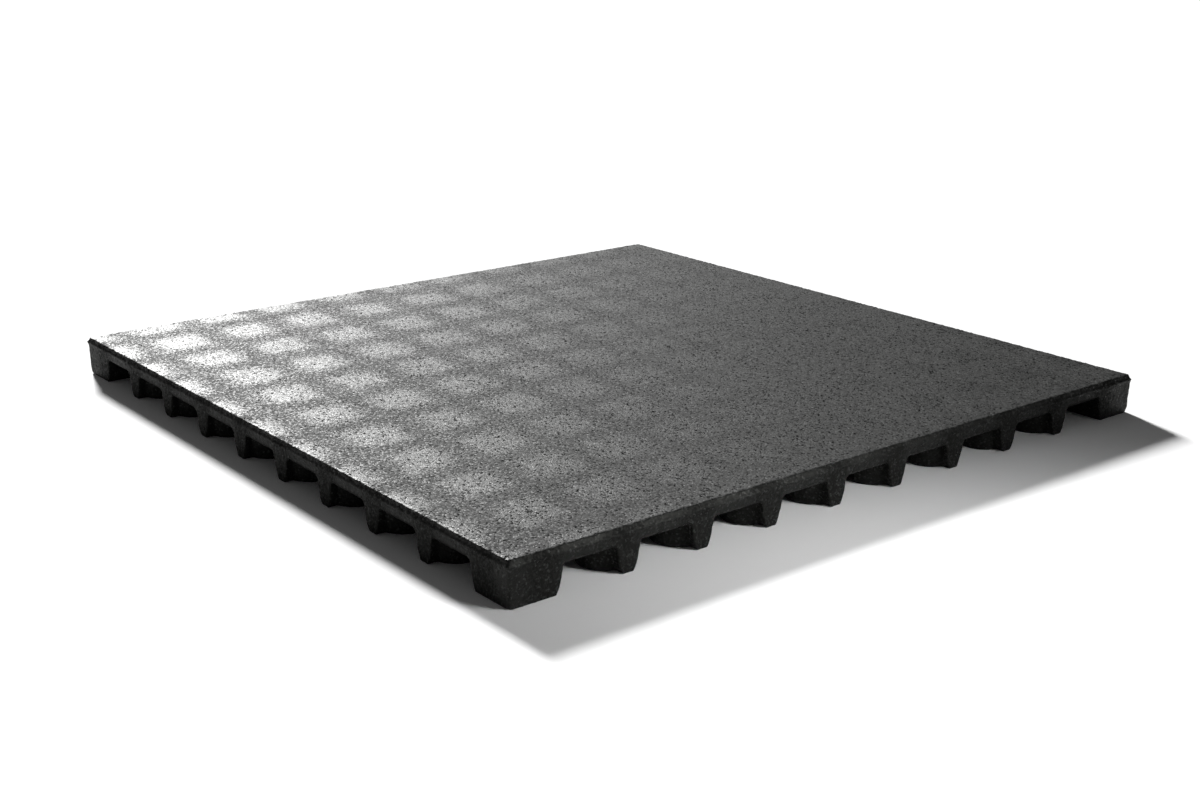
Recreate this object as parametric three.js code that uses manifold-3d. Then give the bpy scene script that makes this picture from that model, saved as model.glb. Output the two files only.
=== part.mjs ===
// Moulded rubber granulate floor tile, one piece.
// Millimetres, +Z up, origin at the middle of the plane that the feet stand on.
import * as THREE from 'three';
import { mergeVertices } from 'three/addons/utils/BufferGeometryUtils.js';
import Module from 'manifold-3d';

// Overall size.
const TILE_SIDE = 1000;
const TILE_THICKNESS = 51.5;

// Underside: a slab on a square grid of round feet.
const FEET_PER_SIDE = 10;
const FOOT_PITCH = 100;
const FOOT_HEIGHT = 30;
const EDGE_FOOT_INSET = 50;
const FOOT_BOTTOM_RADIUS = 30;
const FOOT_ROOT_RADIUS = 37;
const FOOT_ROOT_FILLET = 3;
const FOOT_TOE_ROUNDING = 1.5;
const INNER_FOOT_SIDES = 10;
const EDGE_FOOT_SIDES = 16;

// Ribs that carry the outer feet out to the side walls: half width at each height.
const RIB_SECTION = [
  { z: 0, halfWidth: 5.6 },
  { z: 1.2, halfWidth: 7.8 },
  { z: 4, halfWidth: 9 },
  { z: 12.5, halfWidth: 12.4 },
  { z: FOOT_HEIGHT - 9, halfWidth: 14.6 },
  { z: FOOT_HEIGHT - 5, halfWidth: 16.8 },
  { z: FOOT_HEIGHT - 2, halfWidth: 20.4 },
  { z: FOOT_HEIGHT, halfWidth: 25.5 },
];

// Solid blocks under the four corners: reach along both sides at each height.
const CORNER_BLOCK_SECTION = [
  { z: 0, reach: 57.6 },
  { z: 1.4, reach: 59.8 },
  { z: 5, reach: 62 },
  { z: FOOT_HEIGHT - 9, reach: 66.6 },
  { z: FOOT_HEIGHT - 4, reach: 69 },
  { z: FOOT_HEIGHT, reach: 74 },
];
const CORNER_BLOCK_ROUNDING = 9;
const CORNER_BLOCK_STEPS = 3;

// Side wall: distance in from the outermost line at each height.
const EDGE_PROFILE = [
  { z: 0, inset: 4.6 },
  { z: 1.2, inset: 3.2 },
  { z: 3, inset: 2.5 },
  { z: TILE_THICKNESS - 11.4, inset: 1.7 },
  { z: TILE_THICKNESS - 10.4, inset: 1 },
  { z: TILE_THICKNESS - 6.8, inset: 0.8 },
  { z: TILE_THICKNESS - 6.2, inset: 0 },
  { z: TILE_THICKNESS - 5.4, inset: 0 },
  { z: TILE_THICKNESS - 4.8, inset: 0.9 },
  { z: TILE_THICKNESS - 3, inset: 2.2 },
  { z: TILE_THICKNESS - 1.2, inset: 4.2 },
  { z: TILE_THICKNESS, inset: 7.2 },
];
const CORNER_RADIUS = 5;
const CORNER_SHARPENING = 0.3;
const SMALLEST_CORNER_RADIUS = 2;
const CORNER_STEPS = 4;

// How far a piece runs into its neighbour, or past the outer form, before it is joined or cut.
const JOIN_OVERLAP = 4;
const CUT_MARGIN = 10;

const RUBBER_COLOUR = 0x2b2d2e;
const RUBBER_ROUGHNESS = 0.82;

const wasm = await Module();
wasm.setup();

const half = TILE_SIDE / 2;

// Closed solid through a stack of equal-length loops, lowest first.
function loftGeometry(loops) {
  const count = loops[0].length;
  const positions = [];
  const indices = [];
  for (const loop of loops) {
    for (const point of loop) {
      positions.push(point.x, point.y, point.z);
    }
  }
  for (let level = 0; level + 1 < loops.length; level += 1) {
    for (let i = 0; i < count; i += 1) {
      const a = level * count + i;
      const b = level * count + ((i + 1) % count);
      indices.push(a, b, b + count);
      indices.push(a, b + count, a + count);
    }
  }
  const top = (loops.length - 1) * count;
  for (let i = 1; i + 1 < count; i += 1) {
    indices.push(0, i + 1, i);
    indices.push(top, top + i, top + i + 1);
  }
  const geometry = new THREE.BufferGeometry();
  geometry.setAttribute('position', new THREE.Float32BufferAttribute(positions, 3));
  geometry.setIndex(indices);
  return geometry;
}

// Rounded rectangle, counter-clockwise, from its low corner to its high corner.
function roundedRectangle(x0, y0, x1, y1, radius, steps, z) {
  const corners = [
    { x: x1 - radius, y: y0 + radius, start: -Math.PI / 2 },
    { x: x1 - radius, y: y1 - radius, start: 0 },
    { x: x0 + radius, y: y1 - radius, start: Math.PI / 2 },
    { x: x0 + radius, y: y0 + radius, start: Math.PI },
  ];
  const points = [];
  for (const corner of corners) {
    for (let i = 0; i <= steps; i += 1) {
      const angle = corner.start + (i / steps) * (Math.PI / 2);
      const x = corner.x + radius * Math.cos(angle);
      const y = corner.y + radius * Math.sin(angle);
      points.push(new THREE.Vector3(x, y, z));
    }
  }
  return points;
}

function toManifold(source) {
  const geometry = source.clone();
  geometry.deleteAttribute('normal');
  geometry.deleteAttribute('uv');
  const merged = mergeVertices(geometry, 1e-4);
  return new wasm.Manifold(new wasm.Mesh({
    numProp: 3,
    vertProperties: new Float32Array(merged.attributes.position.array),
    triVerts: new Uint32Array(merged.index.array),
  }));
}

function toGeometry(solid) {
  const mesh = solid.getMesh();
  const geometry = new THREE.BufferGeometry();
  geometry.setAttribute('position', new THREE.BufferAttribute(mesh.vertProperties, 3));
  geometry.setIndex(new THREE.BufferAttribute(mesh.triVerts, 1));
  const flat = geometry.toNonIndexed();
  flat.computeVertexNormals();
  return flat;
}

// The outer form of the tile, feet and slab together.
function outerForm() {
  const loops = EDGE_PROFILE.map(({ z, inset }) => {
    const radius = Math.max(SMALLEST_CORNER_RADIUS, CORNER_RADIUS - inset * CORNER_SHARPENING);
    const edge = half - inset;
    return roundedRectangle(-edge, -edge, edge, edge, radius, CORNER_STEPS, z);
  });
  return toManifold(loftGeometry(loops));
}

function slab() {
  const width = TILE_SIDE + 2 * CUT_MARGIN;
  const depth = TILE_THICKNESS - FOOT_HEIGHT + CUT_MARGIN;
  const geometry = new THREE.BoxGeometry(width, width, depth);
  geometry.translate(0, 0, FOOT_HEIGHT + depth / 2);
  return toManifold(geometry);
}

// Tapered round foot; detailed ones have a rounded toe and a fillet at the root.
function foot(x, y, sides, detailed) {
  const top = FOOT_HEIGHT + JOIN_OVERLAP;
  const profile = [new THREE.Vector2(0, 0)];
  if (detailed) {
    profile.push(new THREE.Vector2(FOOT_BOTTOM_RADIUS - FOOT_TOE_ROUNDING, 0));
    profile.push(new THREE.Vector2(FOOT_BOTTOM_RADIUS, FOOT_TOE_ROUNDING));
    profile.push(new THREE.Vector2(FOOT_ROOT_RADIUS - FOOT_ROOT_FILLET, FOOT_HEIGHT - FOOT_ROOT_FILLET));
  } else {
    profile.push(new THREE.Vector2(FOOT_BOTTOM_RADIUS, 0));
  }
  profile.push(new THREE.Vector2(FOOT_ROOT_RADIUS, FOOT_HEIGHT));
  profile.push(new THREE.Vector2(FOOT_ROOT_RADIUS, top));
  profile.push(new THREE.Vector2(0, top));
  const geometry = new THREE.LatheGeometry(profile, sides);
  geometry.rotateX(Math.PI / 2);
  geometry.translate(x, y, 0);
  return toManifold(geometry);
}

// Tapered rib from an outer foot to the low Y side wall, at the given X.
function edgeRib(x) {
  const root = RIB_SECTION.at(-1);
  const levels = [...RIB_SECTION, { z: root.z + JOIN_OVERLAP, halfWidth: root.halfWidth }];
  const rightFlank = levels.map(({ z, halfWidth }) => new THREE.Vector2(halfWidth, z));
  const leftFlank = levels.map(({ z, halfWidth }) => new THREE.Vector2(-halfWidth, z));
  const shape = new THREE.Shape([...rightFlank, ...leftFlank.reverse()]);
  const depth = EDGE_FOOT_INSET + JOIN_OVERLAP;
  const geometry = new THREE.ExtrudeGeometry(shape, { depth, bevelEnabled: false });
  geometry.rotateX(Math.PI / 2);
  geometry.translate(x, -half + EDGE_FOOT_INSET, 0);
  return toManifold(geometry);
}

// Solid block under the low X, low Y corner.
function cornerBlock() {
  const low = -half - CUT_MARGIN;
  const root = CORNER_BLOCK_SECTION.at(-1);
  const levels = [...CORNER_BLOCK_SECTION, { z: root.z + JOIN_OVERLAP, reach: root.reach }];
  const loops = levels.map(({ z, reach }) => {
    const high = -half + reach;
    return roundedRectangle(low, low, high, high, CORNER_BLOCK_ROUNDING, CORNER_BLOCK_STEPS, z);
  });
  return toManifold(loftGeometry(loops));
}

// Row positions of the feet that are not part of a corner block.
const innerRows = [];
for (let i = 1; i + 1 < FEET_PER_SIDE; i += 1) {
  innerRows.push((i - (FEET_PER_SIDE - 1) / 2) * FOOT_PITCH);
}
const edgeRow = half - EDGE_FOOT_INSET;

const underside = [];
for (const x of innerRows) {
  for (const y of innerRows) {
    underside.push(foot(x, y, INNER_FOOT_SIDES, false));
  }
}

// One side's feet and ribs with one corner block, turned to all four sides.
for (let side = 0; side < 4; side += 1) {
  const turn = side * 90;
  underside.push(cornerBlock().rotate([0, 0, turn]));
  for (const x of innerRows) {
    underside.push(foot(x, -edgeRow, EDGE_FOOT_SIDES, true).rotate([0, 0, turn]));
    underside.push(edgeRib(x).rotate([0, 0, turn]));
  }
}

const body = wasm.Manifold.union([slab(), ...underside]);
const tile = body.intersect(outerForm());

const rubber = new THREE.MeshStandardMaterial({
  color: RUBBER_COLOUR,
  roughness: RUBBER_ROUGHNESS,
  metalness: 0,
});

const group = new THREE.Group();
const mesh = new THREE.Mesh(toGeometry(tile), rubber);
mesh.name = 'rubber_tile';
group.add(mesh);

export default group;
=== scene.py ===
"""Rubber granulate floor tile on a pale studio floor."""
import math

import bpy
from mathutils import Matrix, Vector


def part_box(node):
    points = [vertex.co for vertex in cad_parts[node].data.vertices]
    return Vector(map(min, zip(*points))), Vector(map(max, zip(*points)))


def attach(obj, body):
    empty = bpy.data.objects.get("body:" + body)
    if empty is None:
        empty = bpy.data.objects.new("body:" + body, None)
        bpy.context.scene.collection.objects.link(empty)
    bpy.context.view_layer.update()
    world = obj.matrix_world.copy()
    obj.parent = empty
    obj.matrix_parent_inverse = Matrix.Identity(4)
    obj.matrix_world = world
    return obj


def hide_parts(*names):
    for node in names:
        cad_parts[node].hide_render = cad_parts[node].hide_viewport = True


bl_info = {
    "name": "Rubber floor tile",
    "version": (1, 0, 0),
    "blender": (4, 5, 0),
    "location": "3D View > Sidebar > Floor tile",
    "description": "Builds a moulded rubber granulate floor tile with a footed underside",
    "category": "Add Mesh",
}

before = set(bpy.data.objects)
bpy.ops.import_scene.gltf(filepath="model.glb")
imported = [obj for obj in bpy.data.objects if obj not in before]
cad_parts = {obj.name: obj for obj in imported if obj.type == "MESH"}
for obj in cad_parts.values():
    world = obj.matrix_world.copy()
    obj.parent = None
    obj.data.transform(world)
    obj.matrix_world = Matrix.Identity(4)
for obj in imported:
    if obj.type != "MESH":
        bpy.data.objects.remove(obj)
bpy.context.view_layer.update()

MM = 0.001
QUARTER_TURN = math.pi / 2.0
NODE = "rubber_tile"

# The tile's outer size comes from the CAD part's bounding box.
LOW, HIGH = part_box(NODE)
SIDE = HIGH[0] - LOW[0]
HALF = SIDE / 2.0
THICKNESS = HIGH[2] - LOW[2]

# Side wall above the feet, in millimetres: depth under the top, and distance in from the
# outermost line.
BAND_ROWS = [
    (17.4, 1.2),
    (15.2, 1.1),
    (11.4, 1.0),
    (9.4, 0.7),
    (8.0, 0.3),
    (6.9, 0.0),
    (6.2, 0.1),
    (5.4, 0.6),
    (4.4, 1.5),
    (3.0, 2.1),
    (1.6, 2.6),
    (0.5, 3.1),
    (0.0, 4.1),
    (0.0, 7.0),
    (0.0, 12.0),
]

# Feet, lowest row first: height as a share of the foot height, then in millimetres the wall
# inset, rib half width, corner block reach and foot radius.
FOOT_ROWS = [
    (0.0, 3.2, 5.0, 58.0, 27.6),
    (0.02, 2.5, 6.4, 59.2, 28.7),
    (0.05, 2.1, 7.6, 60.2, 29.4),
    (0.12, 1.9, 8.9, 61.6, 30.0),
    (0.25, 1.8, 10.7, 62.9, 30.8),
    (0.42, 1.75, 12.3, 64.4, 31.8),
    (0.58, 1.7, 13.4, 65.4, 32.7),
    (0.72, 1.6, 14.1, 66.2, 33.5),
    (0.83, 1.5, 14.6, 66.7, 34.1),
    (0.92, 1.4, 15.3, 67.4, 34.8),
    (0.98, 1.3, 16.3, 68.4, 35.8),
    (1.0, 1.2, 18.0, 70.0, 37.0),
]

# Points closer together than this are one point.
MERGE = 0.05 * MM

# Columns of the side wall: their width, and the distances from a side's middle at which they
# start to spread and at which they end, short of the corner's rounding.
COLUMN = 2.0 * MM
RIM_BLEND = 470.0 * MM
RIM_END = 494.0 * MM

# The tile's vertical corners are blunt at the toe and sharp above it.
CORNER_RADIUS = 2.5 * MM
TOE_CORNER_RADIUS = 8.0 * MM
TOE_HEIGHT = 8.0 * MM
CORNER_STEPS = 4

# Extra inset of the wall over an opening, by rows counted from the opening's roof, and the
# strip of roof that the wall brings with it.
ARRIS_ROUNDING = {0: 2.4 * MM, 1: 0.6 * MM}
ROOF_LIP = 3.0 * MM

# Plan shape of the ribs, feet and corner blocks.
FILLET = 5.0 * MM
FILLET_STEPS = 4
FLANK_STEPS = 3
FOOT_ARC_STEPS = 13
INNER_FOOT_SIDES = 24
BLOCK_ROUNDING = 9.0 * MM
BLOCK_STEPS = 6

# Arrises that are softened: their least fold, lowest point and depth in from the edge.
ARRIS_FOLD = math.radians(50.0)
ARRIS_LOWEST = 1.0 * MM
ARRIS_DEPTH = 8.0 * MM
ARRIS_SMOOTHING = 0.5
ARRIS_PASSES = 2

# Where grains stand out: a band along the edge, over which they grow to full relief, and the
# feet at a share of it. The flat ends of the feet stay flat.
RAGGED_BAND = 11.5 * MM
RAGGED_BLEND = 7.0 * MM
RAGGED_FEET = 0.5
FLAT_END = 0.4 * MM

# Applying a modifier frees the group's own record, so the group is called by this name.
RAGGED_GROUP = "ragged"

# Grains that stand out: name, then width and relief as shares of the sizes in the panel.
GRAIN_LAYERS = (("coarse grains", 2.4, 0.5), ("grains", 1.0, 1.0))

SMOOTH_ANGLE = math.radians(40.0)

# Turn of the space that the grains lie in, so that their layers don't follow the tile's faces.
GRAIN_TURN = (0.5, 0.35, 0.6)

# Fine structure: crumbs and dust to a grain, patches and drift to a metre.
CRUMBS = 2.3
DUST = 1.6
PATCHES = 14.0
DRIFT = 22.0

# Spans that a share from nought to one, or another span, is mapped to.
UNIT = (0.0, 1.0)
PATCH_SPREAD = (0.3, 0.7)
GRAIN_TONE = (0.8, 1.4)
PATCH_TONE = (0.85, 1.15)
# Painted shade between the grains: the cell distances over which it sets in, and the tone it
# reaches.
PORE_SHADE_REACH = (0.45, 0.75)
PORE_SHADE_TONE = (1.0, 0.7)
# Painted sheen in the colour: darker over the feet, paler over the gaps.
GAP_SHEEN_TONE = (0.6, 1.25)

# A few grains are paler than the rest: partly real pale grains, partly painted glints.
PALE_AND_GLINT_GRAINS = (0.88, 0.95)
PALE_AND_GLINT_SHARE = (0.0, 0.8)
PALE_AND_GLINT_GAIN = 7.0

# Dull grains are common over the feet and scarce over the gaps, and a few grains shine.
DULL_GRAINS = (0.3, 0.94)
DULL_PATCHES = (0.08, -0.08)
DULL_ROUGHNESS = 0.2
SHINY_GRAINS = 0.14
SHINY_ROUGHNESS = 0.22
SHINY_TILT = 0.55
ROUGHNESS_SPREAD = 0.06
FEET_ROUGHNESS = (0.06, 0.0)

# Relief of the skin: grains, crumbs and dust as shares, and its depth.
GRAIN_HEIGHT = -1.0
CRUMB_HEIGHT = -0.35
DUST_HEIGHT = 0.8
SKIN_DEPTH = 0.2 * MM

RUBBER_IOR = 1.5
RUBBER_SPECULAR = 0.19
RUBBER_TINT = (0.99, 1.0, 0.93, 1.0)

# Outline of the fields over the gaps: how far they wander, and the part of each wave they take.
FIELD_WANDER = 0.9
FIELD_SPAN = (-1.0, 0.25)

# Camera of the photo, worked out from the tile's own corners and edges. The angles are
# azimuth, elevation and roll in degrees.
CAMERA_PLACE = (-1.3400, -1.6791, 0.6747)
CAMERA_ANGLES = (-38.86, 17.60, 0.34)
CAMERA_LENS = 49.905
CAMERA_SENSOR = 36.0
CAMERA_NEAR = 0.05
CAMERA_FAR = 60.0

# Stage.
FLOOR_SIZE = 60.0
FLOOR_ROUGHNESS = 0.9
FLOOR_SPECULAR = 0.1
KEY_DISTANCE = 3.0
FILL_PLACE = Vector((0.25, -1.5, 0.6))
FILL_AIM = Vector((-0.25, -0.55, 0.0))
FILL_SIZE = 0.5
FILL_SPREAD = math.radians(56.0)


class TileShape(bpy.types.PropertyGroup):
    """Sizes of the underside and of the grain that stands proud."""

    foot_height: bpy.props.FloatProperty(
        name="Foot height", description="Height of the feet under the slab",
        default=32.0 * MM, min=0.005, unit="LENGTH")
    foot_pitch: bpy.props.FloatProperty(
        name="Foot pitch", description="Distance between the rows of feet",
        default=100.0 * MM, min=0.05, unit="LENGTH")
    edge_foot_inset: bpy.props.FloatProperty(
        name="Edge foot inset", description="Middle of the outer feet, in from the outermost line",
        default=42.0 * MM, min=0.03, unit="LENGTH")
    grain_relief: bpy.props.FloatProperty(
        name="Grain relief", description="How far single grains stand out of the side walls",
        default=1.3 * MM, min=0.0, unit="LENGTH")
    grain_size: bpy.props.FloatProperty(
        name="Grain size", description="Width of the grains in the side walls",
        default=4.0 * MM, min=0.0005, unit="LENGTH")


class TileFinish(bpy.types.PropertyGroup):
    """Colour, grain and gloss of the bound rubber granulate."""

    rubber_colour: bpy.props.FloatVectorProperty(
        name="Rubber", description="Colour of the granulate",
        default=(0.0045, 0.0047, 0.0046), min=0.0, max=1.0, size=3, subtype="COLOR")
    grain: bpy.props.FloatProperty(
        name="Grain", description="Width of a typical grain on the surface",
        default=2.0 * MM, min=0.0005, unit="LENGTH")
    roughness: bpy.props.FloatProperty(
        name="Roughness", description="Roughness of the grains",
        default=0.555, min=0.0, max=1.0, subtype="FACTOR")
    tilt: bpy.props.FloatProperty(
        name="Grain tilt", description="How unevenly the grains lie in the skin",
        default=0.16, min=0.0, max=1.0, subtype="FACTOR")


class StageSettings(bpy.types.PropertyGroup):
    """The pale floor, the key light and the soft light."""

    floor_colour: bpy.props.FloatVectorProperty(
        name="Floor", description="Colour of the studio floor",
        default=(0.95, 0.95, 0.95), min=0.0, max=1.0, size=3, subtype="COLOR")
    key_strength: bpy.props.FloatProperty(
        name="Key light", description="Brightness of the light from behind the tile",
        default=7.8, min=0.0)
    key_turn: bpy.props.FloatProperty(
        name="Key light direction",
        description="Turn of the key light from the back towards the right",
        default=math.radians(17.0), unit="ROTATION")
    key_rise: bpy.props.FloatProperty(
        name="Key light height", description="Angle of the key light above the floor",
        default=math.radians(23.7), unit="ROTATION")
    key_softness: bpy.props.FloatProperty(
        name="Key light softness", description="Width of the key light as an angle",
        default=math.radians(8.0), unit="ROTATION")
    fill_power: bpy.props.FloatProperty(
        name="Fill light", description="Power of the soft light in front of the tile",
        default=1.6, min=0.0, unit="POWER")
    sky_strength: bpy.props.FloatProperty(
        name="Surroundings", description="Brightness of the white surroundings",
        default=0.09, min=0.0)


# Mesh helpers


def select_only(*pieces):
    """Leaves object mode with just these pieces selected and the first one active."""
    if bpy.context.object and bpy.context.object.mode != "OBJECT":
        bpy.ops.object.mode_set(mode="OBJECT")
    bpy.ops.object.select_all(action="DESELECT")
    for piece in pieces:
        piece.select_set(True)
    if pieces:
        bpy.context.view_layer.objects.active = pieces[0]


def edit_all(operator, **settings):
    """Runs one operator on the whole of the active mesh."""
    bpy.ops.object.mode_set(mode="EDIT")
    bpy.ops.mesh.select_all(action="SELECT")
    operator(**settings)
    bpy.ops.object.mode_set(mode="OBJECT")


def grid(name, columns, rows, rule):
    """A grid primitive whose points are laid out by rule(column, row)."""
    select_only()
    bpy.ops.mesh.primitive_grid_add(x_subdivisions=columns, y_subdivisions=rows, size=2.0)
    piece = bpy.context.object
    piece.name = name
    for point in piece.data.vertices:
        column = round((point.co.x + 1.0) / 2.0 * columns)
        row = round((point.co.y + 1.0) / 2.0 * rows)
        point.co = rule(column, row)
    return piece


def copy_of(piece, turn, shift=(0.0, 0.0, 0.0)):
    """A copy with its own mesh, shifted and then turned about the tile's middle."""
    twin = piece.copy()
    twin.data = piece.data.copy()
    bpy.context.collection.objects.link(twin)
    twin.data.transform(Matrix.Rotation(turn, 4, "Z") @ Matrix.Translation(Vector(shift)))
    return twin


def join(pieces, name):
    """Several meshes as one, with shared points merged."""
    select_only(*pieces)
    bpy.ops.object.join()
    whole = bpy.context.object
    whole.name = name
    whole.data.name = name
    edit_all(bpy.ops.mesh.remove_doubles, threshold=MERGE)
    return whole


def middle_of(mesh, kind, item):
    """Middle of a point, an edge or a face."""
    if kind == "VERT":
        return item.co
    if kind == "EDGE":
        return (mesh.vertices[item.vertices[0]].co + mesh.vertices[item.vertices[1]].co) / 2.0
    return item.center


def pick(piece, kind, test):
    """Selects the points, edges or faces that test(middle, item) accepts, in edit mode."""
    mesh = piece.data
    for group in (mesh.vertices, mesh.edges, mesh.polygons):
        group.foreach_set("select", [False] * len(group))
    bpy.ops.object.mode_set(mode="EDIT")
    bpy.ops.mesh.select_mode(type=kind)
    bpy.ops.mesh.select_all(action="DESELECT")
    bpy.ops.object.mode_set(mode="OBJECT")
    items = {"VERT": mesh.vertices, "EDGE": mesh.edges, "FACE": mesh.polygons}[kind]
    for item in items:
        item.select = test(middle_of(mesh, kind, item), item)
    bpy.ops.object.mode_set(mode="EDIT")


def pick_open(piece, test):
    """Selects the edges with one face only that test(middle) accepts, in edit mode."""
    count = {}
    for face in piece.data.polygons:
        for key in face.edge_keys:
            count[key] = count.get(key, 0) + 1
    pick(piece, "EDGE",
         lambda middle, edge: test(middle) and count.get(tuple(sorted(edge.vertices))) == 1)


# Shape of the tile


def stretched(value, low, high, new_low, new_high):
    """Moves a value from one span to another."""
    return new_low + (value - low) / (high - low) * (new_high - new_low)


def row_lengths(row):
    """Wall inset, rib half width, block reach and foot radius of one row, in metres."""
    return [value * MM for value in row[1:]]


def rib_centres(shape):
    """Places of the ribs along one side."""
    count = round(SIDE / shape.foot_pitch) - 2
    return [(index - (count - 1) / 2.0) * shape.foot_pitch for index in range(count)]


def corner_radius(height):
    """Plan radius of the tile's corners at a height."""
    toe = max(0.0, 1.0 - height / TOE_HEIGHT)
    return CORNER_RADIUS + (TOE_CORNER_RADIUS - CORNER_RADIUS) * toe * toe


def widths_at(rows, height):
    """Rib half width and corner block reach at a height under the slab."""
    for lower, upper in zip(rows, rows[1:]):
        if height <= upper[0]:
            share = (height - lower[0]) / (upper[0] - lower[0])
            return [low + (high - low) * share for low, high in zip(lower[2:4], upper[2:4])]
    return rows[-1][2:4]


def rim(shape):
    """The side wall all round, with the outer faces of ribs and corner blocks."""
    rows = [(row[0] * shape.foot_height, *row_lengths(row)) for row in FOOT_ROWS]
    lower = len(rows) - 1
    roof, roof_inset, rib_root, block_root, _ = rows[-1]
    centres = rib_centres(shape)
    straight = round(2.0 * RIM_END / COLUMN)
    per_side = straight + CORNER_STEPS
    columns = 4 * per_side
    for root in (rib_root, HALF - block_root):
        if abs(root / COLUMN - round(root / COLUMN)) * COLUMN > MERGE:
            raise ValueError("The roots of ribs and blocks lie between two columns of the wall")

    def height_inset(row):
        if row <= lower:
            return rows[row][0], rows[row][1]
        depth, inset = BAND_ROWS[row - lower - 1]
        return THICKNESS - depth * MM, inset * MM

    def over_opening(place):
        return (abs(place) < HALF - block_root - MERGE
                and all(abs(place - centre) > rib_root + MERGE for centre in centres))

    def along(place, row, limit):
        if row <= lower:
            rib, block = rows[row][2], rows[row][3]
            for centre in centres:
                if abs(place - centre) <= rib_root + MERGE:
                    return centre + (place - centre) * rib / rib_root
            if abs(place) >= HALF - block_root - MERGE:
                bent = stretched(abs(place), HALF - block_root, RIM_END, HALF - block, limit)
                return math.copysign(bent, place)
        if abs(place) > RIM_BLEND:
            bent = stretched(abs(place), RIM_BLEND, RIM_END, RIM_BLEND, limit)
            return math.copysign(bent, place)
        return place

    def rule(column, row):
        side, step = divmod(column % columns, per_side)
        height, inset = height_inset(row)
        radius = corner_radius(height)
        limit = HALF - inset - radius
        if step <= straight:
            start = -RIM_END + step * COLUMN
            inset += ARRIS_ROUNDING.get(row - lower, 0.0) if over_opening(start) else 0.0
            point = Vector((along(start, row, limit), -HALF + inset, height))
        else:
            angle = -QUARTER_TURN + (step - straight) / CORNER_STEPS * math.pi / 2.0
            point = Vector((limit + radius * math.cos(angle),
                            -limit + radius * math.sin(angle), height))
        return Matrix.Rotation(side * QUARTER_TURN, 4, "Z") @ point

    piece = grid("rim", columns, lower + len(BAND_ROWS), rule)

    def in_opening(middle, _):
        if middle.z > roof - MERGE:
            return False
        side = round(math.atan2(middle.x, -middle.y) / QUARTER_TURN)
        place = (Matrix.Rotation(-side * QUARTER_TURN, 4, "Z") @ middle).x
        rib, block = widths_at(rows, middle.z)
        return abs(place) < HALF - block and all(abs(place - centre) > rib for centre in centres)

    pick(piece, "FACE", in_opening)
    bpy.ops.mesh.delete(type="FACE")
    edit_all(bpy.ops.mesh.remove_doubles, threshold=MERGE)

    # The wall's edges over the openings run on inwards as a strip of roof.
    wall = HALF - roof_inset - 2.0 * ARRIS_ROUNDING[0]
    for side in range(4):
        turn = Matrix.Rotation(-side * QUARTER_TURN, 4, "Z")

        def on_roof_edge(middle):
            return abs(middle.z - roof) < MERGE and (turn @ middle).y < -wall

        inward = turn.inverted() @ Vector((0.0, ROOF_LIP, 0.0))
        pick_open(piece, on_roof_edge)
        bpy.ops.mesh.extrude_edges_move(TRANSFORM_OT_translate={"value": inward})
        bpy.ops.object.mode_set(mode="OBJECT")
    return piece


def arc(x, y, radius, start, end, steps):
    """Points along an arc in plan, without its first one."""
    angles = [stretched(step, 0, steps, start, end) for step in range(1, steps + 1)]
    return [Vector((x + radius * math.cos(angle), y + radius * math.sin(angle)))
            for angle in angles]


def foot_contour(inset, rib, radius, middle):
    """Plan outline of a ribbed foot: from the wall along the rib, round the foot and back."""
    lip = inset + ROOF_LIP
    fillet_x = rib + FILLET
    fillet_y = middle - math.sqrt((radius + FILLET) ** 2 - fillet_x ** 2)
    toward_foot = math.atan2(middle - fillet_y, -fillet_x)
    points = [Vector((rib, inset)), Vector((rib, lip))]
    for step in range(1, FLANK_STEPS + 1):
        points.append(Vector((rib, stretched(step, 0, FLANK_STEPS, lip, fillet_y))))
    points += arc(fillet_x, fillet_y, FILLET, math.pi, toward_foot, FILLET_STEPS)
    points += arc(0.0, middle, radius, math.atan2(fillet_y - middle, fillet_x), QUARTER_TURN,
                  FOOT_ARC_STEPS)
    return points + [Vector((-point.x, point.y)) for point in reversed(points[:-1])]


def block_contour(inset, reach):
    """Plan outline of the inner faces of the high X, low Y corner block, from wall to wall."""
    face = HALF - reach
    lip = -HALF + inset + ROOF_LIP
    rounding_y = -HALF + reach - BLOCK_ROUNDING
    points = [Vector((face, -HALF + inset)), Vector((face, lip))]
    for step in range(1, BLOCK_STEPS + 1):
        points.append(Vector((face, stretched(step, 0, BLOCK_STEPS, lip, rounding_y))))
    points += arc(face + BLOCK_ROUNDING, rounding_y, BLOCK_ROUNDING,
                  math.pi, math.pi - QUARTER_TURN / 2.0, BLOCK_STEPS // 2)
    return points + [Vector((-point.y, -point.x)) for point in reversed(points[:-1])]


def loft(name, outlines, shape, shift_y=0.0):
    """A skin through one plan outline for each row of the foot table."""
    def rule(column, row):
        point = outlines[row][column]
        return Vector((point.x, point.y + shift_y, FOOT_ROWS[row][0] * shape.foot_height))

    return grid(name, len(outlines[0]) - 1, len(outlines) - 1, rule)


def edge_foot(shape):
    """The flanks of one rib and the foot behind it, at the middle of the low Y side."""
    outlines = []
    for row in FOOT_ROWS:
        inset, rib, _, radius = row_lengths(row)
        outlines.append(foot_contour(inset, rib, radius, shape.edge_foot_inset))
    return loft("edge foot", outlines, shape, -HALF)


def corner_block(shape):
    """The two inner faces of the block at the high X, low Y corner."""
    outlines = []
    for row in FOOT_ROWS:
        inset, _, reach, _ = row_lengths(row)
        outlines.append(block_contour(inset, reach))
    return loft("corner block", outlines, shape)


def inner_foot(shape):
    """One round foot with a rounded toe and a flared root."""
    outlines = []
    for row in FOOT_ROWS:
        radius = row_lengths(row)[3]
        angles = [column / INNER_FOOT_SIDES * 2.0 * math.pi
                  for column in range(INNER_FOOT_SIDES + 1)]
        outlines.append([Vector((radius * math.cos(angle), radius * math.sin(angle)))
                         for angle in angles])
    return loft("inner foot", outlines, shape)


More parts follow.
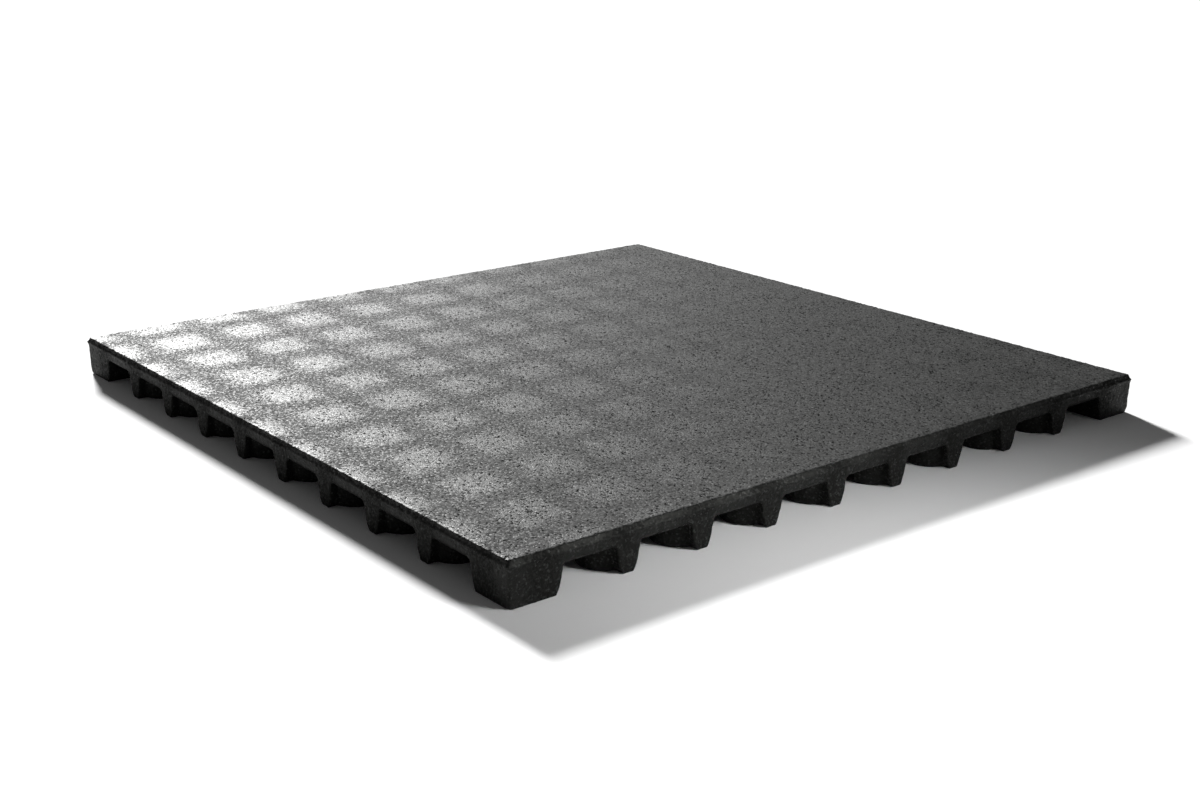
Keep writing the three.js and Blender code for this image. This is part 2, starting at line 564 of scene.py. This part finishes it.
def close_flat(piece, height):
    """Fills between the open outlines that lie at one height."""
    pick_open(piece, lambda middle: abs(middle.z - height) < MERGE)
    bpy.ops.mesh.fill(use_beauty=True)
    bpy.ops.object.mode_set(mode="OBJECT")


def close_feet(piece):
    """Closes each foot's open toe with one flat face."""
    pick_open(piece, lambda middle: middle.z < MERGE)
    bpy.ops.mesh.edge_face_add()
    bpy.ops.object.mode_set(mode="OBJECT")


def tile_mesh(shape):
    """The whole tile as one closed mesh."""
    parts = [rim(shape)]
    foot = edge_foot(shape)
    block = corner_block(shape)
    for side in range(4):
        parts.append(copy_of(block, side * QUARTER_TURN))
        for centre in rib_centres(shape):
            parts.append(copy_of(foot, side * QUARTER_TURN, (centre, 0.0, 0.0)))
    round_foot = inner_foot(shape)
    for x in rib_centres(shape):
        for y in rib_centres(shape):
            parts.append(copy_of(round_foot, 0.0, (x, y, 0.0)))
    for model in (foot, block, round_foot):
        bpy.data.objects.remove(model)
    tile = join(parts, "moulded_tile")
    close_flat(tile, shape.foot_height)
    close_feet(tile)
    close_flat(tile, THICKNESS)
    edit_all(bpy.ops.mesh.normals_make_consistent, inside=False)
    return tile


def outward_of(point):
    """Distance of a point from the tile's middle, towards its nearest side wall."""
    return max(abs(point.x), abs(point.y))


def soften_arrises(tile, shape):
    """Rounds the arrises of the openings, as moulded granulate leaves them."""
    normals = {}
    for face in tile.data.polygons:
        for key in face.edge_keys:
            normals.setdefault(key, []).append(face.normal.copy())
    sharp = set()
    for key, pair in normals.items():
        if len(pair) == 2 and pair[0].angle(pair[1], 0.0) > ARRIS_FOLD:
            sharp.update(key)
    roof = shape.foot_height + MERGE

    def on_arris(point, item):
        return (item.index in sharp and ARRIS_LOWEST < point.z < roof
                and outward_of(point) > HALF - ARRIS_DEPTH)

    pick(tile, "VERT", on_arris)
    bpy.ops.mesh.vertices_smooth(factor=ARRIS_SMOOTHING, repeat=ARRIS_PASSES)
    bpy.ops.object.mode_set(mode="OBJECT")


def ragged_weight(point, shape):
    """How much of the grain relief a point of the tile takes, from nought to one."""
    if point.z < FLAT_END:
        return 0.0
    weight = min(1.0, max(0.0, (outward_of(point) - (HALF - RAGGED_BAND)) / RAGGED_BLEND))
    return max(weight, RAGGED_FEET) if point.z < shape.foot_height else weight


def ragged_walls(tile, shape):
    """Lets single grains stand out of the feet, the walls, the arrises and the top edge."""
    group = tile.vertex_groups.new(name=RAGGED_GROUP)
    weights = {}
    for point in tile.data.vertices:
        weights.setdefault(round(ragged_weight(point.co, shape), 1), []).append(point.index)
    for weight, indices in weights.items():
        if weight > 0.0:
            group.add(indices, weight, "REPLACE")
    for name, size_share, relief_share in GRAIN_LAYERS:
        lumps = bpy.data.textures.new(name, type="CLOUDS")
        lumps.noise_scale = shape.grain_size * size_share
        lumps.noise_depth = 1
        bump = tile.modifiers.new(name, "DISPLACE")
        bump.texture = lumps
        bump.texture_coords = "LOCAL"
        bump.vertex_group = RAGGED_GROUP
        bump.strength = shape.grain_relief * relief_share
        bump.mid_level = 0.5
        select_only(tile)
        bpy.ops.object.modifier_apply(modifier=bump.name)
    tile.vertex_groups.clear()


# Materials


class Nodes:
    """Short calls for building a node tree."""

    def __init__(self, material):
        material.use_nodes = True
        self.tree = material.node_tree
        self.tree.nodes.clear()

    def add(self, kind, **settings):
        node = self.tree.nodes.new(kind)
        for key, value in settings.items():
            setattr(node, key, value)
        return node

    def link(self, source, target):
        self.tree.links.new(source, target)

    def put(self, value, socket):
        """Sets a plain value on a socket, or links another node's output to it."""
        if isinstance(value, (int, float, tuple)):
            socket.default_value = value
        else:
            self.link(value, socket)

    def math(self, operation, first, second=0.0):
        node = self.add("ShaderNodeMath", operation=operation)
        self.put(first, node.inputs[0])
        self.put(second, node.inputs[1])
        return node.outputs[0]

    def vector(self, operation, first, second=None, scale=None):
        node = self.add("ShaderNodeVectorMath", operation=operation)
        self.put(first, node.inputs[0])
        if second is not None:
            self.put(second, node.inputs[1])
        if scale is not None:
            self.put(scale, node.inputs["Scale"])
        return node.outputs[0]

    def span(self, value, old, new):
        node = self.add("ShaderNodeMapRange")
        self.link(value, node.inputs["Value"])
        for name, number in zip(("From Min", "From Max", "To Min", "To Max"), (*old, *new)):
            node.inputs[name].default_value = number
        return node.outputs["Result"]

    def noise(self, place, scale, detail=2.0, roughness=0.5):
        node = self.add("ShaderNodeTexNoise")
        self.link(place, node.inputs["Vector"])
        node.inputs["Scale"].default_value = scale
        node.inputs["Detail"].default_value = detail
        node.inputs["Roughness"].default_value = roughness
        return node.outputs["Fac"]

    def cells(self, place, scale):
        node = self.add("ShaderNodeTexVoronoi", feature="F1")
        self.link(place, node.inputs["Vector"])
        node.inputs["Scale"].default_value = scale
        return node

    def blend(self, factor, first, second, mode="MIX"):
        node = self.add("ShaderNodeMix", data_type="RGBA", blend_type=mode)
        for index, value in ((0, factor), (6, first), (7, second)):
            self.put(value, node.inputs[index])
        return node.outputs[2]

    def finish(self, shader):
        output = self.add("ShaderNodeOutputMaterial")
        self.link(shader.outputs[0], output.inputs["Surface"])


def foot_pattern(nodes, place, shape):
    """One over the gaps between the feet, where the skin lies flatter, and nought over the feet; it
    sets the roughness and a painted sheen in the colour.
    """
    drift = nodes.noise(place, DRIFT)
    split = nodes.add("ShaderNodeSeparateXYZ")
    nodes.link(place, split.inputs[0])
    bands = []
    for axis in (0, 1):
        turn = nodes.math("MULTIPLY", split.outputs[axis], 2.0 * math.pi / shape.foot_pitch)
        turn = nodes.math("ADD", turn, nodes.math("MULTIPLY", drift, FIELD_WANDER))
        bands.append(nodes.span(nodes.math("COSINE", turn), FIELD_SPAN, UNIT))
    return nodes.math("MULTIPLY", bands[0], bands[1])


def granulate_colour(nodes, finish, split, shaded_pores, patches, gaps):
    """Tone of each grain, with painted shade between grains, a painted sheen that is darker over
    the feet, and a few pale grains that are partly painted glints.
    """
    tone = nodes.span(split.outputs[0], UNIT, GRAIN_TONE)
    wear = nodes.span(patches, PATCH_SPREAD, PATCH_TONE)
    # Grain tone and patches, with painted shade darkening the colour between the grains.
    shade = nodes.math("MULTIPLY", nodes.math("MULTIPLY", tone, wear),
                       nodes.span(shaded_pores, PORE_SHADE_REACH, PORE_SHADE_TONE))
    # Painted sheen: the colour is darker over the feet and paler over the gaps between them.
    shade = nodes.math("MULTIPLY", shade, nodes.span(gaps, UNIT, GAP_SHEEN_TONE))
    colour = nodes.blend(1.0, (*finish.rubber_colour, 1.0), shade, "MULTIPLY")
    # Pale grains: partly real lighter grains, partly painted glints.
    pale = nodes.span(split.outputs[1], PALE_AND_GLINT_GRAINS, PALE_AND_GLINT_SHARE)
    pale_and_glint_colour = tuple(min(1.0, channel * PALE_AND_GLINT_GAIN) for channel in finish.rubber_colour)
    return nodes.blend(pale, colour, (*pale_and_glint_colour, 1.0))


def granulate_roughness(nodes, finish, split, shiny, patches, gaps):
    """Roughness of each grain, with dull grains over the feet and a few shiny ones."""
    dull_above = nodes.math("ADD", nodes.span(gaps, UNIT, DULL_GRAINS),
                            nodes.span(patches, PATCH_SPREAD, DULL_PATCHES))
    dull = nodes.math("GREATER_THAN", split.outputs[2], dull_above)
    spread = (finish.roughness - ROUGHNESS_SPREAD, finish.roughness + ROUGHNESS_SPREAD)
    roughness = nodes.span(split.outputs[0], UNIT, spread)
    roughness = nodes.math("ADD", roughness, nodes.math("MULTIPLY", dull, DULL_ROUGHNESS))
    roughness = nodes.math("ADD", roughness, nodes.span(gaps, UNIT, FEET_ROUGHNESS))
    return nodes.math("SUBTRACT", roughness, nodes.math("MULTIPLY", shiny, SHINY_ROUGHNESS))


def granulate(finish, shape):
    """Bound black rubber granulate: grains that lie unevenly, painted shade between them, a painted
    sheen over the gaps between the feet, and paler worn grains that also serve as painted glints.
    """
    material = bpy.data.materials.new("rubber granulate")
    nodes = Nodes(material)
    place = nodes.add("ShaderNodeTexCoord").outputs["Object"]
    turned = nodes.add("ShaderNodeMapping")
    turned.inputs["Rotation"].default_value = GRAIN_TURN
    nodes.link(place, turned.inputs["Vector"])
    grains = nodes.cells(turned.outputs[0], 1.0 / finish.grain)
    crumbs = nodes.cells(turned.outputs[0], CRUMBS / finish.grain)
    dust = nodes.noise(place, DUST / finish.grain, 3.0, 0.6)
    patches = nodes.noise(place, PATCHES, 3.0)
    gaps = foot_pattern(nodes, place, shape)
    split = nodes.add("ShaderNodeSeparateColor")
    nodes.link(grains.outputs["Color"], split.inputs[0])
    shiny = nodes.math("LESS_THAN", split.outputs[1], SHINY_GRAINS)
    colour = granulate_colour(nodes, finish, split, grains.outputs["Distance"], patches, gaps)
    roughness = granulate_roughness(nodes, finish, split, shiny, patches, gaps)

    # Each grain leans its own way, and the shiny ones lean further.
    uneven = nodes.math("ADD", nodes.math("MULTIPLY", shiny, SHINY_TILT), finish.tilt)
    lean = nodes.vector("SUBTRACT", grains.outputs["Color"], (0.5, 0.5, 0.5))
    lean = nodes.vector("SCALE", lean, scale=uneven)
    facing = nodes.add("ShaderNodeNewGeometry").outputs["Normal"]
    facet = nodes.vector("NORMALIZE", nodes.vector("ADD", facing, lean))

    pebble = nodes.math("MULTIPLY", grains.outputs["Distance"], GRAIN_HEIGHT)
    crumb = nodes.math("MULTIPLY", crumbs.outputs["Distance"], CRUMB_HEIGHT)
    pebble = nodes.math("ADD", pebble, crumb)
    pebble = nodes.math("ADD", pebble, nodes.math("MULTIPLY", dust, DUST_HEIGHT))
    bump = nodes.add("ShaderNodeBump")
    bump.inputs["Strength"].default_value = 1.0
    bump.inputs["Distance"].default_value = SKIN_DEPTH
    nodes.link(pebble, bump.inputs["Height"])
    nodes.link(facet, bump.inputs["Normal"])

    shader = nodes.add("ShaderNodeBsdfPrincipled")
    nodes.link(colour, shader.inputs["Base Color"])
    nodes.link(roughness, shader.inputs["Roughness"])
    nodes.link(bump.outputs["Normal"], shader.inputs["Normal"])
    shader.inputs["IOR"].default_value = RUBBER_IOR
    shader.inputs["Specular IOR Level"].default_value = RUBBER_SPECULAR
    shader.inputs["Specular Tint"].default_value = RUBBER_TINT
    nodes.finish(shader)
    return material


def floor_finish(stage):
    """Even white studio floor."""
    material = bpy.data.materials.new("studio floor")
    nodes = Nodes(material)
    shader = nodes.add("ShaderNodeBsdfPrincipled")
    shader.inputs["Base Color"].default_value = (*stage.floor_colour, 1.0)
    shader.inputs["Roughness"].default_value = FLOOR_ROUGHNESS
    shader.inputs["Specular IOR Level"].default_value = FLOOR_SPECULAR
    nodes.finish(shader)
    return material


# Operators


class FLOORTILE_OT_camera(bpy.types.Operator):
    """Place the camera in front of the tile's near corner"""

    bl_idname = "floortile.camera"
    bl_label = "Place camera"

    def execute(self, context):
        data = bpy.data.cameras.new("camera")
        data.sensor_fit = "HORIZONTAL"
        data.sensor_width = CAMERA_SENSOR
        data.lens = CAMERA_LENS
        data.clip_start = CAMERA_NEAR
        data.clip_end = CAMERA_FAR
        camera = bpy.data.objects.new("camera", data)
        context.collection.objects.link(camera)
        azimuth, elevation, roll = (math.radians(angle) for angle in CAMERA_ANGLES)
        turn = (Matrix.Rotation(azimuth, 4, "Z")
                @ Matrix.Rotation(QUARTER_TURN - elevation, 4, "X")
                @ Matrix.Rotation(roll, 4, "Z"))
        camera.matrix_world = Matrix.Translation(CAMERA_PLACE) @ turn
        context.scene.camera = camera
        return {"FINISHED"}


class FLOORTILE_OT_tile(bpy.types.Operator):
    """Build the moulded tile with its feet and granulate finish"""

    bl_idname = "floortile.tile"
    bl_label = "Build tile"

    def execute(self, context):
        shape = context.scene.floor_tile_shape
        finish = context.scene.floor_tile_finish
        tile = tile_mesh(shape)
        soften_arrises(tile, shape)
        ragged_walls(tile, shape)
        select_only(tile)
        bpy.ops.object.shade_smooth_by_angle(angle=SMOOTH_ANGLE)
        tile.data.materials.clear()
        tile.data.materials.append(granulate(finish, shape))
        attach(tile, "root")
        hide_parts(NODE)
        return {"FINISHED"}


class FLOORTILE_OT_stage(bpy.types.Operator):
    """Lay the pale floor and set the lights"""

    bl_idname = "floortile.stage"
    bl_label = "Set stage"

    def execute(self, context):
        stage = context.scene.floor_tile_stage
        select_only()
        bpy.ops.mesh.primitive_plane_add(size=FLOOR_SIZE, location=(0.0, 0.0, 0.0))
        floor = context.object
        floor.name = "studio_floor"
        floor.data.materials.append(floor_finish(stage))

        world = bpy.data.worlds.new("surroundings")
        context.scene.world = world
        world.use_nodes = True
        background = world.node_tree.nodes["Background"]
        background.inputs["Color"].default_value = (1.0, 1.0, 1.0, 1.0)
        background.inputs["Strength"].default_value = stage.sky_strength

        key = bpy.data.lights.new("key light", type="SUN")
        key.energy = stage.key_strength
        key.angle = stage.key_softness
        toward = Vector((math.sin(stage.key_turn) * math.cos(stage.key_rise),
                         math.cos(stage.key_turn) * math.cos(stage.key_rise),
                         math.sin(stage.key_rise)))
        key_light = bpy.data.objects.new("key light", key)
        key_light.location = toward * KEY_DISTANCE
        key_light.rotation_euler = toward.to_track_quat("Z", "Y").to_euler()
        context.collection.objects.link(key_light)

        fill = bpy.data.lights.new("fill light", type="AREA")
        fill.shape = "DISK"
        fill.size = FILL_SIZE
        fill.energy = stage.fill_power
        fill.spread = FILL_SPREAD
        fill_light = bpy.data.objects.new("fill light", fill)
        fill_light.location = FILL_PLACE
        fill_light.rotation_euler = (FILL_PLACE - FILL_AIM).to_track_quat("Z", "Y").to_euler()
        fill_light.visible_camera = False
        context.collection.objects.link(fill_light)

        context.scene.view_settings.view_transform = "Standard"
        return {"FINISHED"}


class FLOORTILE_PT_panel(bpy.types.Panel):
    """Sizes, finish and light of the floor tile"""

    bl_idname = "FLOORTILE_PT_panel"
    bl_label = "Floor tile"
    bl_space_type = "VIEW_3D"
    bl_region_type = "UI"
    bl_category = "Floor tile"

    def draw(self, context):
        scene = context.scene
        for settings in (scene.floor_tile_shape, scene.floor_tile_finish, scene.floor_tile_stage):
            box = self.layout.box()
            for name in settings.__annotations__:
                box.prop(settings, name)
        for operator in (FLOORTILE_OT_camera, FLOORTILE_OT_tile, FLOORTILE_OT_stage):
            self.layout.operator(operator.bl_idname)


CLASSES = (
    TileShape,
    TileFinish,
    StageSettings,
    FLOORTILE_OT_camera,
    FLOORTILE_OT_tile,
    FLOORTILE_OT_stage,
    FLOORTILE_PT_panel,
)
SETTINGS = {
    "floor_tile_shape": TileShape,
    "floor_tile_finish": TileFinish,
    "floor_tile_stage": StageSettings,
}


def register():
    for item in CLASSES:
        bpy.utils.register_class(item)
    for name, group in SETTINGS.items():
        setattr(bpy.types.Scene, name, bpy.props.PointerProperty(type=group))


def unregister():
    for name in SETTINGS:
        delattr(bpy.types.Scene, name)
    for item in reversed(CLASSES):
        bpy.utils.unregister_class(item)


def main():
    """Builds the whole scene."""
    register()
    bpy.ops.floortile.camera()
    bpy.ops.floortile.tile()
    bpy.ops.floortile.stage()


if __name__ == "__main__":
    main()
